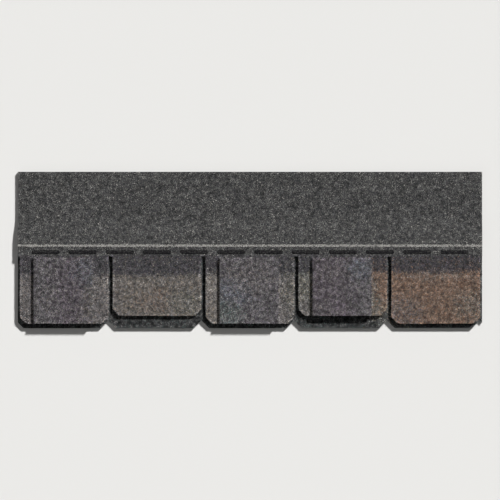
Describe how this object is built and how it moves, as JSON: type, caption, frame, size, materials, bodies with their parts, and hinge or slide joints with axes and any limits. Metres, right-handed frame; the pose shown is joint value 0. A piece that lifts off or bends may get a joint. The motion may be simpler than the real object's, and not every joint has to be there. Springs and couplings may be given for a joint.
{
  "type": "laminated asphalt shingle",
  "caption": "One laminated asphalt roof shingle: a slotted top sheet with long and short tabs, rectangular applied tabs and a notched backing strip, for nailing in overlapping courses.",
  "frame": {"origin": "middle of the underside, on the surface that the shingle lies on", "axes": "+X along the shingle, +Y up the slope of the roof towards the headlap, +Z out of the granule face"},
  "size_m": [1, 0.337, 0.0094],
  "materials": {
    "granule_sheet": "mineral granules, matte, blended tan, grey and orange-brown",
    "granule_backing": "mineral granules, matte charcoal",
    "granule_tab": "mineral granules, matte, dark purple-grey",
    "asphalt_adhesive": "dark asphalt, satin",
    "sealant": "tacky asphalt, gloss",
    "clear_film": "thin clear film, gloss"
  },
  "bodies": {
    "root": {"top_sheet": "granule_sheet", "backing_strip": "granule_backing", "applied_tab_1": "granule_tab", "applied_tab_3": "granule_tab", "applied_tab_4": "granule_tab", "laminating_adhesive": "asphalt_adhesive", "tab_adhesive": "asphalt_adhesive", "sealant_strip": "sealant", "release_film": "clear_film"}
  },
  "joints": []
}
